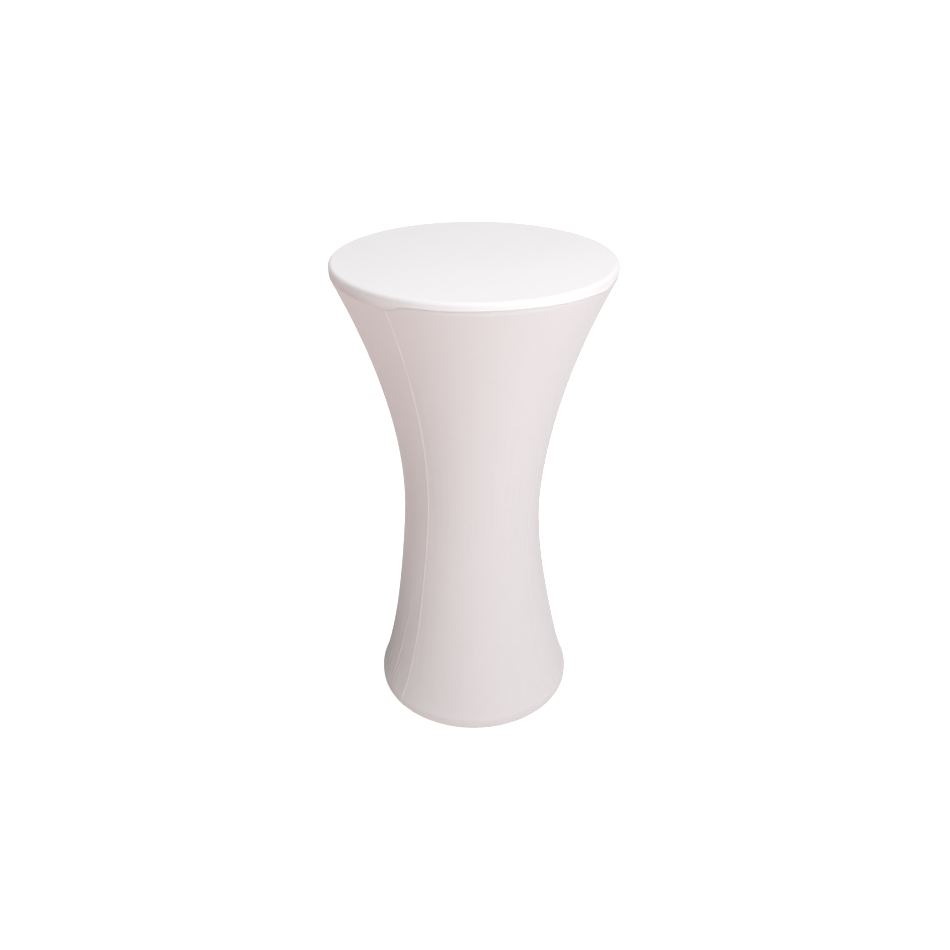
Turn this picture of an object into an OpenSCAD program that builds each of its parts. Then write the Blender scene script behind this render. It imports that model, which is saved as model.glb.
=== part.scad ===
// Fitted stretch cover on a round cocktail table, millimetres.
// Origin: on the floor, on the column's axis. +Z up, -Y is the front.

/* [Tabletop] */
// Height of the dressed table, floor to the top of the cloth
table_h = 1100; // [900:1:1350]
// Diameter of the bare tabletop
top_d = 600; // [500:1:800]
// Thickness of the tabletop with its laminates
top_t = 28; // [23:1:40]
// Rounding of the tabletop's edge, above and below
edge_round = 7; // [5:0.5:9]
// Land of the edge moulding inside its rounding
moulding_land = 1; // [0.5:0.5:6]
// Depth of the moulding's tongue in the core
tongue_l = 8; // [4:1:12]
// Thickness of the moulding's tongue
tongue_t = 3; // [2:0.5:5]
// Thickness of each laminate sheet
laminate_t = 1; // [0.6:0.1:1.5]

/* [Mounting plate] */
// Length of the plate's two crossed arms
arm_l = 260; // [200:5:340]
// Width of an arm
arm_w = 40; // [30:1:60]
// Thickness of the plate
plate_t = 4; // [3:0.5:6]
// Depth of the cup that locates the column
cup_h = 18; // [10:1:30]
// Shank diameter of the plate's wood screws
screw_d = 4.8; // [3.5:0.1:5.5]
// Length of a screw in the core
screw_l = 16; // [10:1:18]

/* [Column] */
// Outside diameter of the column
column_d = 60; // [48:1:80]
// Wall of the column
column_wall = 2; // [1.5:0.1:3]
// Diameter of the tie rod
rod_d = 10; // [8:1:12]
// Width across the flats of the tie rod's nuts
nut_af = 17; // [15:1:22]
// Height of a tie rod nut
nut_h = 8; // [6:0.5:10]
// Thickness of the tie rod's washer
washer_t = 2; // [1.5:0.5:3]
// Diameter of the tie rod's washer
washer_d = 34; // [28:1:40]

/* [Base] */
// Diameter of the base
base_d = 472; // [400:1:600]
// Height of the base cover's lower edge over the floor
base_z = 6; // [5:0.5:10]
// Height of the rim's upper edge over the floor
rim_z = 34; // [32:1:50]
// Rounding of the rim, below
rim_round = 8; // [5:0.5:9]
// Rounding of the rim, above
shoulder_round = 4; // [3:0.5:6]
// Width of the lip turned in under the rim
lip_w = 6; // [3:0.5:10]
// Height of the flat where the column stands
seat_z = 48; // [46:1:70]
// Diameter of that flat
seat_d = 120; // [110:1:160]
// Thickness of the base cover's sheet
sheet_t = 2; // [1.5:0.1:2.5]
// Room between the cast weight and the base cover's lip
weight_room = 8; // [4:1:20]
// Height of the weight's lower face over the floor
weight_z = 12; // [11:0.5:14]
// Thickness of the weight
weight_t = 14; // [12:0.5:16]
// Diameter of the weight's boss under the column
boss_d = 90; // [80:1:105]
// Depth of the recess for the lower nut
recess_h = 8; // [6:0.5:9]

/* [Glides] */
// Distance of a glide from the weight's rim
glide_inset = 44; // [24:1:60]
// Diameter of a glide's pad
pad_d = 32; // [26:1:36]
// Height of a glide's pad
pad_h = 7; // [6.5:0.1:7.5]
// Diameter of a glide's stem
stem_d = 8; // [6:0.5:10]
// Height of a stem's top over the floor, screwed home
stem_top_z = 33; // [30:0.5:34]
// Diameter of the stem's head in its pad
head_d = 13; // [12:0.5:16]
// Height of the stem's head
head_h = 3; // [2:0.1:3.2]
// Width across the flats of the stem's hexagon
hex_af = 13; // [12:0.5:15]
// Outside diameter of the threaded insert
insert_d = 13; // [12.5:0.5:16]

/* [Cover] */
// Thickness of the stretch knit
cloth_t = 1; // [0.6:0.1:1.4]
// Direction of the first seam, counter-clockwise from +X
seam_az = -129; // [-180:1:180]
// Drop of the cap seam below the middle of the tabletop's edge
cap_seam_drop = 2; // [0:0.5:2.5]
// Room that the folded cap seam takes between edge and cloth
seam_room = 1.1; // [0.9:0.1:1.6]
// Gap between two panels at a seam
seam_gap = 0.4; // [0.3:0.1:0.8]
// Angle from the vertical at which the skirt leaves the tabletop
leave_angle = 25; // [15:1:35]
// Outer radius of the cover at its waist
waist_r = 161; // [120:1:195]
// Height of the waist
waist_z = 514; // [400:1:620]
// Power of the skirt's curve above the waist
flare_up = 1.87; // [1.5:0.01:2.2]
// Power of the skirt's curve below the waist
flare_down = 1.63; // [1.5:0.01:2.2]
// Extra flare where the skirt runs on to the rim
rim_flare = 7; // [0:0.5:12]
// Height over which that flare fades
rim_flare_h = 37; // [20:1:60]
// Width of a gore's seam allowance
allowance_w = 6; // [4:0.5:9]
// Width of the hem casing
casing_w = 14; // [11:0.5:18]
// Height of the hem casing
casing_h = 4; // [3.6:0.1:4.2]
// Width of the elastic
elastic_w = 9; // [6:0.5:10]
// Thickness of the elastic
elastic_t = 1.2; // [0.8:0.1:1.4]

/* [Clearances] */
// Radial gap of a thread stand-in in its nut or insert
thread_gap = 0.05; // [0.03:0.01:0.1]
// Gap of a bolt or rod in a plain hole
hole_gap = 0.5; // [0.3:0.1:1]
// Gap around the stem's head in its pad
swivel_gap = 0.1; // [0.05:0.01:0.2]
// Gap between a fitted piece and its seat
fit_gap = 0.1; // [0.05:0.01:0.3]
// Gap between the cloth and the base
cloth_gap = 0.2; // [0.1:0.1:0.5]
// Gap between the stem's hexagon and the weight, screwed home
home_gap = 0.3; // [0.2:0.1:0.5]

/* [Hidden] */
$fn = 96;

cloth_colour = "#f4f0ef";
thread_colour = "#e9e4e3";
steel_colour = "#b9bcc0";
iron_colour = "#4b4d50";

// Tabletop
top_z1 = table_h - cloth_t;
top_z0 = top_z1 - top_t;
edge_r = top_d / 2;
core_r = edge_r - edge_round - moulding_land;
tongue_r = core_r - tongue_l;
mid_z = (top_z0 + top_z1) / 2;
upper_arc_z = top_z1 - edge_round;
lower_arc_z = top_z0 + edge_round;

// Mounting plate, its screws and the column
plate_z = top_z0 - plate_t;
cup_r = column_d / 2 - column_wall - fit_gap;
cup_wall = 3;
plate_disc_d = 120;
screw_inset = 10;
screw_spacing = 22;
screw_head_d = 9;
screw_head_h = 2.4;
plug_h = 14;
collar_h = 9;
collar_w = 20;
collar_rim = 2;
collar_top = 4;

// Base and tie rod
rim_r = base_d / 2;
lip_r = rim_r - rim_round - lip_w;
weight_r = lip_r - weight_room;
rod_hole_d = rod_d + 2 * hole_gap;
recess_z = weight_z + recess_h;
recess_d = washer_d + 6;
rod_end = 2;
rod_z0 = recess_z - washer_t - nut_h - rod_end;
rod_z1 = plate_z - 1;

// Glides
glide_n = 4;
glide_az = 45;
glide_r = weight_r - glide_inset;
pad_floor = 2;
pad_chamfer = 2.8;
head_z = pad_floor + swivel_gap;
hex_z0 = pad_h + home_gap;
hex_z1 = weight_z - home_gap;

// Cover: the skirt's line is given by the inner face of the cloth
seam_z = mid_z - cap_seam_drop;
arc_r = edge_r - edge_round;
skirt_top_z = lower_arc_z - (edge_round + seam_room) * sin(leave_angle);
skirt_top_r = arc_r + (edge_round + seam_room) * cos(leave_angle);
skirt_foot_r = rim_r + cloth_gap;
waist_in_r = waist_r - cloth_t;
top_rise = skirt_top_r - waist_in_r;
foot_rise = skirt_foot_r - rim_flare - waist_in_r;
curl_z = base_z + rim_round;
curl_r = rim_r - rim_round;
casing_r = lip_r - 1;
casing_z0 = base_z - cloth_gap - casing_h;
gore_n = 4;
gore_sweep = 360 / gore_n;
allowance_z1 = plate_z - 5;
allowance_z0 = seat_z + 5;

// Points on an arc about c
function arc(c, r, a0, a1, n = 6) =
    [for (i = [0:n]) let (a = a0 + (a1 - a0) * i / n) c + r * [cos(a), sin(a)]];

// Radius of the skirt's inner face at a height: a power curve each way from the waist
function skirt_r(z) = z > waist_z
    ? waist_in_r + top_rise * pow((z - waist_z) / (skirt_top_z - waist_z), flare_up)
    : waist_in_r + foot_rise * pow((waist_z - z) / (waist_z - rim_z), flare_down)
        + rim_flare * exp((rim_z - z) / rim_flare_h);

// The skirt's line between two heights, moved out by d
function free_skirt(d, z_top, z_foot, n) =
    [for (i = [0:n]) let (z = z_top + (z_foot - z_top) * i / n) [skirt_r(z) + d, z]];

// A gore's line from the cap seam to the casing, at distance d outside its inner face
function gore_line(d) = concat(
    [[edge_r + seam_room + d, seam_z - seam_gap]],
    arc([arc_r, lower_arc_z], edge_round + seam_room + d, 0, -leave_angle, 3),
    free_skirt(d, skirt_top_z - 20, rim_z + 45, 20),
    free_skirt(d, rim_z + 25, rim_z, 2),
    [[skirt_foot_r + d, rim_z - shoulder_round]],
    arc([curl_r, curl_z], rim_round + cloth_gap + d, 0, -90),
    [[casing_r + seam_gap, base_z - cloth_gap - d]]
);

function reversed(list) = [for (i = [len(list) - 1:-1:0]) list[i]];

// Places a copy at each glide
module at_glide(i) {
    a = glide_az + 360 / glide_n * i;
    translate([glide_r * cos(a), glide_r * sin(a), 0]) children();
}

// A slab's half section with both edges rounded
module rounded_section(r, z0, z1, round) {
    translate([0, z0]) square([r - round, z1 - z0]);
    translate([0, z0 + round]) square([r, z1 - z0 - 2 * round]);
    for (z = [z0 + round, z1 - round]) translate([r - round, z]) circle(round);
}

// A hexagonal nut with a round hole
module nut(af, h, hole_d) {
    difference() {
        cylinder(d = af / cos(30), h = h, $fn = 6);
        translate([0, 0, -1]) cylinder(d = hole_d, h = h + 2);
    }
}

// ---- Cover ----

// The shell around the tabletop's edge, cut above the seam
module cap_panel() {
    color(cloth_colour)
    rotate_extrude()
    difference() {
        intersection() {
            rounded_section(edge_r + cloth_t, top_z0 - cloth_t, top_z1 + cloth_t, edge_round + cloth_t);
            translate([0, seam_z]) square([edge_r + 2 * cloth_t, top_t]);
        }
        rounded_section(edge_r, top_z0, top_z1, edge_round);
    }
}

// The folded and overlocked edges of cap and skirt, behind the skirt's top
module cap_seam() {
    color(thread_colour)
    rotate_extrude()
    translate([edge_r + thread_gap, lower_arc_z])
    square([seam_room - 2 * thread_gap, seam_z - seam_gap - lower_arc_z]);
}

module skirt_gore(i) {
    gap = seam_gap / waist_r * 180 / PI;
    color(cloth_colour)
    rotate([0, 0, seam_az + gore_sweep * i + gap / 2])
    rotate_extrude(angle = gore_sweep - gap)
    polygon(concat(gore_line(cloth_t), reversed(gore_line(0))));
}

module skirt_gore_front() skirt_gore(0);
module skirt_gore_right() skirt_gore(1);
module skirt_gore_back() skirt_gore(2);
module skirt_gore_left() skirt_gore(3);

// The two overlocked edges of neighbouring gores, standing inwards along their seam
module gore_seam(i) {
    line = free_skirt(-cloth_gap, allowance_z1, allowance_z0, 20);
    inner = free_skirt(-cloth_gap - allowance_w, allowance_z1, allowance_z0, 20);
    color(thread_colour)
    rotate([90, 0, seam_az + gore_sweep * i])
    translate([0, 0, -cloth_t])
    linear_extrude(2 * cloth_t)
    polygon(concat(line, reversed(inner)));
}

module gore_seam_front_left() gore_seam(0);
module gore_seam_front_right() gore_seam(1);
module gore_seam_back_right() gore_seam(2);
module gore_seam_back_left() gore_seam(3);

// A folded strip along the skirt's lower edge, with a tunnel for the elastic
module hem_casing() {
    color(cloth_colour)
    rotate_extrude()
    difference() {
        translate([casing_r - casing_w, casing_z0]) square([casing_w, casing_h]);
        translate([casing_r - casing_w + cloth_t, casing_z0 + cloth_t])
        square([casing_w - 2 * cloth_t, casing_h - 2 * cloth_t]);
    }
}

module hem_elastic() {
    color("white")
    rotate_extrude()
    translate([casing_r - (casing_w + elastic_w) / 2, casing_z0 + (casing_h - elastic_t) / 2])
    square([elastic_w, elastic_t]);
}

// ---- Tabletop ----

module top_laminate() {
    color("#ece9e4")
    translate([0, 0, top_z1 - laminate_t])
    cylinder(r = core_r, h = laminate_t);
}

module bottom_laminate() {
    color("#d8d4cc")
    translate([0, 0, top_z0])
    difference() {
        cylinder(r = core_r, h = laminate_t);
        screw_holes(-1, laminate_t + 2);
    }
}

module tabletop_core() {
    color("#b99a6f")
    difference() {
        translate([0, 0, top_z0 + laminate_t]) cylinder(r = core_r, h = top_t - 2 * laminate_t);
        translate([0, 0, mid_z - tongue_t / 2 - fit_gap]) difference() {
            cylinder(r = core_r + 1, h = tongue_t + 2 * fit_gap);
            translate([0, 0, -1]) cylinder(r = tongue_r - fit_gap, h = tongue_t + 2);
        }
        translate([0, 0, top_z0]) screw_holes(0, screw_l + 1);
    }
}

// A bumper moulding, pushed into the core's groove by its tongue
module edge_moulding() {
    color("#2f3033")
    rotate_extrude() {
        difference() {
            rounded_section(edge_r, top_z0, top_z1, edge_round);
            translate([-1, top_z0 - 1]) square([core_r + 1, top_t + 2]);
        }
        translate([tongue_r, mid_z - tongue_t / 2]) square([tongue_l + moulding_land, tongue_t]);
    }
}

// ---- Mounting plate and column ----

// Where the screws go: two near the end of each arm
module at_screws() {
    for (a = [0:90:270]) rotate([0, 0, a])
        for (x = [0, screw_spacing]) translate([arm_l / 2 - screw_inset - x, 0, 0]) children();
}

module screw_holes(z, h) {
    at_screws() translate([0, 0, z]) cylinder(d = screw_d + 2 * thread_gap, h = h);
}

module mounting_plate() {
    color(steel_colour)
    difference() {
        union() {
            translate([0, 0, plate_z + plate_t / 2]) {
                cube([arm_l, arm_w, plate_t], center = true);
                cube([arm_w, arm_l, plate_t], center = true);
            }
            translate([0, 0, plate_z]) cylinder(d = plate_disc_d, h = plate_t);
            translate([0, 0, plate_z - cup_h]) cylinder(r = cup_r, h = cup_h);
        }
        translate([0, 0, plate_z - cup_h - 1]) cylinder(r = cup_r - cup_wall, h = cup_h + 1);
        translate([0, 0, plate_z]) screw_holes(-1, plate_t + 2);
    }
}

module plate_screws() {
    color(steel_colour)
    at_screws() {
        translate([0, 0, plate_z - screw_head_h]) cylinder(d = screw_head_d, h = screw_head_h);
        translate([0, 0, plate_z - 0.1]) cylinder(d = screw_d, h = plate_t + screw_l);
    }
}

module column_tube() {
    color(steel_colour)
    translate([0, 0, seat_z])
    difference() {
        cylinder(d = column_d, h = plate_z - seat_z);
        translate([0, 0, -1]) cylinder(d = column_d - 2 * column_wall, h = plate_z - seat_z + 2);
    }
}

// A cup inside the column's foot that keeps it on the base's axis
module column_plug() {
    color(iron_colour)
    translate([0, 0, seat_z])
    difference() {
        cylinder(r = cup_r, h = plug_h);
        translate([0, 0, -1]) cylinder(d = rod_hole_d, h = plug_h + 2);
    }
}

// A trim ring around the column's foot
module column_collar() {
    inner = column_d / 2 + hole_gap;
    color(steel_colour)
    rotate_extrude()
    polygon(concat(
        [[inner, seat_z], [inner + collar_w, seat_z]],
        arc([inner + collar_w, seat_z + collar_h], collar_h - collar_rim, -90, -150),
        [[inner + collar_top, seat_z + collar_h], [inner, seat_z + collar_h]]
    ));
}

module tie_rod() {
    color(steel_colour)
    translate([0, 0, rod_z0])
    cylinder(d = rod_d, h = rod_z1 - rod_z0);
}

// Welded under the plate, inside the column's cup
module tie_rod_top_nut() {
    color(steel_colour)
    translate([0, 0, plate_z - nut_h])
    nut(nut_af, nut_h, rod_d + 2 * thread_gap);
}

module tie_rod_washer() {
    color(steel_colour)
    translate([0, 0, recess_z - washer_t])
    difference() {
        cylinder(d = washer_d, h = washer_t);
        translate([0, 0, -1]) cylinder(d = rod_hole_d, h = washer_t + 2);
    }
}

module tie_rod_bottom_nut() {
    color(steel_colour)
    translate([0, 0, recess_z - washer_t - nut_h])
    nut(nut_af, nut_h, rod_d + 2 * thread_gap);
}

// ---- Base ----

// The cover's section line, moved inwards by d
function base_line(d) = concat(
    [[rod_hole_d / 2, seat_z - d], [seat_d / 2, seat_z - d]],
    arc([rim_r - shoulder_round, rim_z - shoulder_round], shoulder_round - d, 85, 0, 4),
    arc([rim_r - rim_round, base_z + rim_round], rim_round - d, 0, -90),
    [[lip_r, base_z + d]]
);

module base_cover() {
    color(steel_colour)
    rotate_extrude()
    polygon(concat(base_line(0), reversed(base_line(sheet_t))));
}

// A cast disc with a boss that carries the column
module base_weight() {
    color(iron_colour)
    difference() {
        union() {
            translate([0, 0, weight_z]) cylinder(r = weight_r, h = weight_t);
            translate([0, 0, weight_z]) cylinder(d = boss_d, h = seat_z - sheet_t - weight_z);
        }
        translate([0, 0, weight_z - 1]) cylinder(d = rod_hole_d, h = seat_z);
        translate([0, 0, weight_z - 1]) cylinder(d = recess_d, h = recess_h + 1);
        for (i = [0:glide_n - 1]) at_glide(i)
            translate([0, 0, weight_z - 1]) cylinder(d = insert_d, h = weight_t + 2);
    }
}

module glide_inserts() {
    color("#c9a44a")
    for (i = [0:glide_n - 1]) at_glide(i)
        translate([0, 0, weight_z]) difference() {
            cylinder(d = insert_d, h = weight_t);
            translate([0, 0, -1]) cylinder(d = stem_d + 2 * thread_gap, h = weight_t + 2);
        }
}

// A screw with a swivel head below and a hexagon for the spanner
module glide_stem(i) {
    color(steel_colour)
    at_glide(i) {
        translate([0, 0, head_z]) cylinder(d = head_d, h = head_h);
        translate([0, 0, head_z]) cylinder(d = stem_d, h = stem_top_z - head_z);
        translate([0, 0, hex_z0]) cylinder(d = hex_af / cos(30), h = hex_z1 - hex_z0, $fn = 6);
    }
}

module glide_stem_1() glide_stem(0);
module glide_stem_2() glide_stem(1);
module glide_stem_3() glide_stem(2);
module glide_stem_4() glide_stem(3);

// A plastic foot with a pocket for the stem's head
module glide_pad(i) {
    pocket_h = head_h + 2 * swivel_gap;
    color("#26272a")
    at_glide(i) difference() {
        rotate_extrude() difference() {
            square([pad_d / 2, pad_h]);
            translate([pad_d / 2, pad_h]) rotate([0, 0, 45]) square(pad_chamfer, center = true);
        }
        translate([0, 0, pad_floor]) cylinder(d = head_d + 2 * swivel_gap, h = pocket_h);
        translate([0, 0, pad_floor]) cylinder(d = stem_d + 2 * hole_gap, h = pad_h);
    }
}

module glide_pad_1() glide_pad(0);
module glide_pad_2() glide_pad(1);
module glide_pad_3() glide_pad(2);
module glide_pad_4() glide_pad(3);

cap_panel();
cap_seam();
skirt_gore_front();
skirt_gore_right();
skirt_gore_back();
skirt_gore_left();
gore_seam_front_left();
gore_seam_front_right();
gore_seam_back_right();
gore_seam_back_left();
hem_casing();
hem_elastic();
top_laminate();
tabletop_core();
bottom_laminate();
edge_moulding();
mounting_plate();
plate_screws();
column_tube();
column_plug();
column_collar();
tie_rod();
tie_rod_top_nut();
tie_rod_washer();
tie_rod_bottom_nut();
base_cover();
base_weight();
glide_inserts();
glide_stem_1();
glide_stem_2();
glide_stem_3();
glide_stem_4();
glide_pad_1();
glide_pad_2();
glide_pad_3();
glide_pad_4();
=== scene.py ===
import math

import bmesh
import bpy
import numpy as np
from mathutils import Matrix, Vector


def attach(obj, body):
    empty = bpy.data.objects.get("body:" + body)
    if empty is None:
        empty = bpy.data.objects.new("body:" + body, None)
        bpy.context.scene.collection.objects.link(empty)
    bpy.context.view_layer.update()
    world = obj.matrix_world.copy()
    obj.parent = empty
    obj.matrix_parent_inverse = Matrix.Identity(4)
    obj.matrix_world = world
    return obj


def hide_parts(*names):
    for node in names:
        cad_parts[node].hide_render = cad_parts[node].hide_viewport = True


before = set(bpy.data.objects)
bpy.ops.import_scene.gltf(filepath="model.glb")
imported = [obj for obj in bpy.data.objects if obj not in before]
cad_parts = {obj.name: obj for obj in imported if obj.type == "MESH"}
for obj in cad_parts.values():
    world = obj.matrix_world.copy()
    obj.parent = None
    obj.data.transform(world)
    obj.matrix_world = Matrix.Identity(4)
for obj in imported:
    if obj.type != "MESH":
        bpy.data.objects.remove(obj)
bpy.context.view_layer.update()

mm = 0.001

cameraSet = {
    "place": (0.0025, -1.9132, 1.6462),  # metres, a standing person's eye
    "pitchDown": 29.122,    # degrees
    "lens": 35.33,    # mm on a 36 mm sensor
}
cameraData = bpy.data.cameras.new("standingView")
cameraData.lens = cameraSet["lens"]
cameraData.sensor_width = 36.0
camera = bpy.data.objects.new("standingView", cameraData)
camera.location = cameraSet["place"]
camera.rotation_euler = (math.radians(90.0 - cameraSet["pitchDown"]), 0.0, 0.0)
bpy.context.scene.collection.objects.link(camera)
bpy.context.scene.camera = camera
bpy.context.scene.view_settings.view_transform = "Standard"
print("camera placed")


# A shader node of a kind, with its settings, and its inputs set or linked.
def addNode(tree, kind, inputs=None, **settings):
    node = tree.nodes.new("ShaderNode" + kind)
    for key, value in settings.items():
        setattr(node, key, value)
    for key, value in (inputs or {}).items():
        if isinstance(value, bpy.types.NodeSocket):
            tree.links.new(value, node.inputs[key])
        else:
            node.inputs[key].default_value = value
    return node


def math2(tree, operation, first, second=0.5):
    return addNode(tree, "Math", {0: first, 1: second}, operation=operation).outputs[0]


def mixColour(tree, factor, first, second, blend="MIX"):
    inputs = {"Factor": factor, 6: first, 7: second}
    return addNode(tree, "Mix", inputs, data_type="RGBA", blend_type=blend).outputs[2]


# Carries a value from one range to another.
def mapRange(tree, value, low, high, toLow=0.0, toHigh=1.0, **settings):
    inputs = {0: value, 1: low, 2: high, 3: toLow, 4: toHigh}
    return addNode(tree, "MapRange", inputs, **settings).outputs[0]


def noise(tree, place, scale, detail):
    inputs = {"Vector": place, "Scale": scale, "Detail": detail}
    return addNode(tree, "TexNoise", inputs).outputs["Fac"]


def newGroup(name, inputs, outputs):
    group = bpy.data.node_groups.new(name, "ShaderNodeTree")
    for socketName, kind, value in inputs:
        socket = group.interface.new_socket(socketName, in_out="INPUT", socket_type=kind)
        if value is not None:
            socket.default_value = value
    for socketName, kind in outputs:
        group.interface.new_socket(socketName, in_out="OUTPUT", socket_type=kind)
    start = group.nodes.new("NodeGroupInput")
    end = group.nodes.new("NodeGroupOutput")
    return group, start.outputs, end.inputs


def useGroup(tree, group, inputs):
    return addNode(tree, "Group", inputs, node_tree=group).outputs


vectorKind, floatKind, colourKind = "NodeSocketVector", "NodeSocketFloat", "NodeSocketColor"

# Knit: columns of loops. Height = |sin| across each column, broken up along it by a sine that bows
# with the column, so it reads as small stacked V shapes.
knitGroup, inn, out = newGroup(
    "knitLoops",
    [("Cloth", vectorKind, None), ("Columns", floatKind, 1400.0), ("Rows", floatKind, 1100.0)],
    [("Loops", floatKind), ("Yarn", floatKind)],
)
axes = addNode(knitGroup, "SeparateXYZ", {0: inn["Cloth"]}).outputs
across = math2(knitGroup, "MULTIPLY", axes[0], inn["Columns"])
along = math2(knitGroup, "MULTIPLY", axes[1], inn["Rows"])
halfTurn = math2(knitGroup, "MULTIPLY", across, math.pi)
column = math2(knitGroup, "ABSOLUTE", math2(knitGroup, "SINE", halfTurn))
bow = math2(knitGroup, "MULTIPLY", column, 2.2)
fullTurn = math2(knitGroup, "MULTIPLY", along, 2 * math.pi)
loop = math2(knitGroup, "SINE", math2(knitGroup, "ADD", fullTurn, bow))
loopHalf = math2(knitGroup, "MULTIPLY_ADD", loop, 0.3)
loopHalf.node.inputs[2].default_value = 0.7
knitGroup.links.new(math2(knitGroup, "MULTIPLY", column, loopHalf), out["Loops"])
knitGroup.links.new(noise(knitGroup, inn["Cloth"], 420.0, 2.0), out["Yarn"])

# Grain: a fine and a coarse noise on the piece's own coordinates, mixed between two colours.
grainGroup, inn, out = newGroup(
    "surfaceGrain",
    [("Place", vectorKind, None), ("Fine", floatKind, 900.0), ("Coarse", floatKind, 30.0),
     ("Balance", floatKind, 0.5), ("Low", colourKind, (0.2, 0.2, 0.2, 1)),
     ("High", colourKind, (0.4, 0.4, 0.4, 1))],
    [("Colour", colourKind), ("Mask", floatKind), ("Height", floatKind)],
)
fine = noise(grainGroup, inn["Place"], inn["Fine"], 3.0)
coarse = noise(grainGroup, inn["Place"], inn["Coarse"], 4.0)
blended = addNode(grainGroup, "Mix", {0: inn["Balance"], 2: fine, 3: coarse}).outputs[0]
spread = mapRange(grainGroup, blended, 0.32, 0.68)
grainGroup.links.new(mixColour(grainGroup, spread, inn["Low"], inn["High"]), out["Colour"])
grainGroup.links.new(spread, out["Mask"])
grainGroup.links.new(fine, out["Height"])

# Handling: smudges and long fine scratches, as a roughness between two values and a height.
handlingGroup, inn, out = newGroup(
    "handling",
    [("Place", vectorKind, None), ("Smooth", floatKind, 0.15), ("Rough", floatKind, 0.35),
     ("Stretch", floatKind, 0.04)],
    [("Roughness", floatKind), ("Height", floatKind)],
)
smudge = noise(handlingGroup, inn["Place"], 14.0, 5.0)
smudgeSpread = mapRange(handlingGroup, smudge, 0.35, 0.7, inn["Smooth"], inn["Rough"])
drawn = addNode(handlingGroup, "CombineXYZ", {0: 1.0, 1: 1.0, 2: inn["Stretch"]})
drawnPlace = addNode(handlingGroup, "VectorMath", {0: inn["Place"], 1: drawn.outputs[0]}, operation="MULTIPLY")
handlingGroup.links.new(smudgeSpread, out["Roughness"])
handlingGroup.links.new(noise(handlingGroup, drawnPlace.outputs[0], 1500.0, 2.0), out["Height"])
print("node groups built")


def newMaterial(name, shaderValues):
    material = bpy.data.materials.new(name)
    material.use_nodes = True
    tree = material.node_tree
    shader = tree.nodes["Principled BSDF"]
    for key, value in shaderValues.items():
        shader.inputs[key].default_value = value
    place = tree.nodes.new("ShaderNodeTexCoord").outputs["Object"]
    return material, tree, shader, place


def bumpInto(tree, shader, height, depth, strength=1.0):
    bump = addNode(tree, "Bump", {"Height": height, "Distance": depth, "Strength": strength})
    tree.links.new(bump.outputs["Normal"], shader.inputs["Normal"])


skirtLook = {
    "colour": (0.84, 0.81, 0.822, 1),    # where the yarn stands proud
    "shade": (0.79, 0.76, 0.772, 1),    # between the loops, drawn open by the stretch
    "paintedShadeColour": (0.55, 0.48, 0.48, 1),    # painted shade: in seam grooves, under the cap seam, beside the front ridge
    "layersAndHighlight": (0.965, 0.93, 0.935, 1),    # lighter over the folded layers of a seam, partly a painted highlight
    "roughness": 0.55,
    "loopDepth": 0.05 * mm,
    "columns": 1500.0,    # per metre of unstretched cloth
    "rows": 1250.0,
}
capLook = {
    "colour": (0.912, 0.895, 0.908, 1),    # the cap's cloth lies on the white board
    "shade": (0.872, 0.855, 0.868, 1),
    # next: the painted shade colour, and the colour over folded layers, partly a painted highlight
    "paintedShadeColour": (0.60, 0.54, 0.54, 1),
    "layersAndHighlight": (0.965, 0.94, 0.945, 1),
    "roughness": 0.5,
    "loopDepth": 0.05 * mm,
    "columns": 1650.0,
    "rows": 1400.0,
}


# shared by both knits: tone variation, how much of the tone comes from the loops, roughness, bump
knitWear = {
    "fine": 55.0, "coarse": 5.0, "balance": 0.6, "low": (0.98, 0.977, 0.978, 1), "high": (1, 1, 1, 1),
    "loopShare": 0.55, "yarnShare": 0.45, "roughLess": 0.04, "roughMore": 0.06, "bump": 0.22,
}


def knitMaterial(name, look):
    material, tree, shader, place = newMaterial(
        name, {"Sheen Weight": 0.06, "Sheen Roughness": 0.4, "Sheen Tint": (1, 0.96, 0.96, 1), "IOR": 1.42}
    )
    cloth = addNode(tree, "UVMap", uv_map="knit").outputs[0]
    # painted shade, and the lighter colour over seam layers that is partly a painted highlight, come from the
    # piece's attributes
    seam = addNode(tree, "Attribute", attribute_name="paintedSeamShade").outputs["Fac"]
    layersAndHighlight = addNode(tree, "Attribute", attribute_name="seamLayersAndHighlight").outputs["Fac"]
    loops = useGroup(tree, knitGroup, {"Cloth": cloth, "Columns": look["columns"], "Rows": look["rows"]})
    broad = useGroup(
        tree, grainGroup,
        {
            "Place": place, "Fine": knitWear["fine"], "Coarse": knitWear["coarse"],
            "Balance": knitWear["balance"], "Low": knitWear["low"], "High": knitWear["high"],
        },
    )
    loopFactor = math2(tree, "MULTIPLY_ADD", loops["Loops"], knitWear["loopShare"])
    yarnPart = math2(tree, "MULTIPLY", loops["Yarn"], knitWear["yarnShare"])
    tree.links.new(yarnPart, loopFactor.node.inputs[2])
    yarnColour = mixColour(tree, loopFactor, look["shade"], look["colour"])
    varied = mixColour(tree, 1.0, yarnColour, broad["Colour"], "MULTIPLY")
    # lighten over the seam layers, partly a painted highlight, then lay the painted shade over all
    layersAndPaintedHighlight = mixColour(tree, layersAndHighlight, varied, look["layersAndHighlight"])
    tree.links.new(mixColour(tree, seam, layersAndPaintedHighlight, look["paintedShadeColour"]), shader.inputs["Base Color"])
    smooth, dull = look["roughness"] - knitWear["roughLess"], look["roughness"] + knitWear["roughMore"]
    tree.links.new(mapRange(tree, broad["Mask"], 0.0, 1.0, smooth, dull), shader.inputs["Roughness"])
    bumpInto(tree, shader, loops["Loops"], look["loopDepth"], knitWear["bump"])
    return material


skirtKnit = knitMaterial("skirtKnit", skirtLook)
capKnit = knitMaterial("capKnit", capLook)


def grainOn(tree, place, low, high, fine, coarse, balance):
    return useGroup(
        tree, grainGroup,
        {
            "Place": place, "Fine": fine, "Coarse": coarse, "Balance": balance,
            "Low": (*low, 1), "High": (*high, 1),
        },
    )


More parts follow.
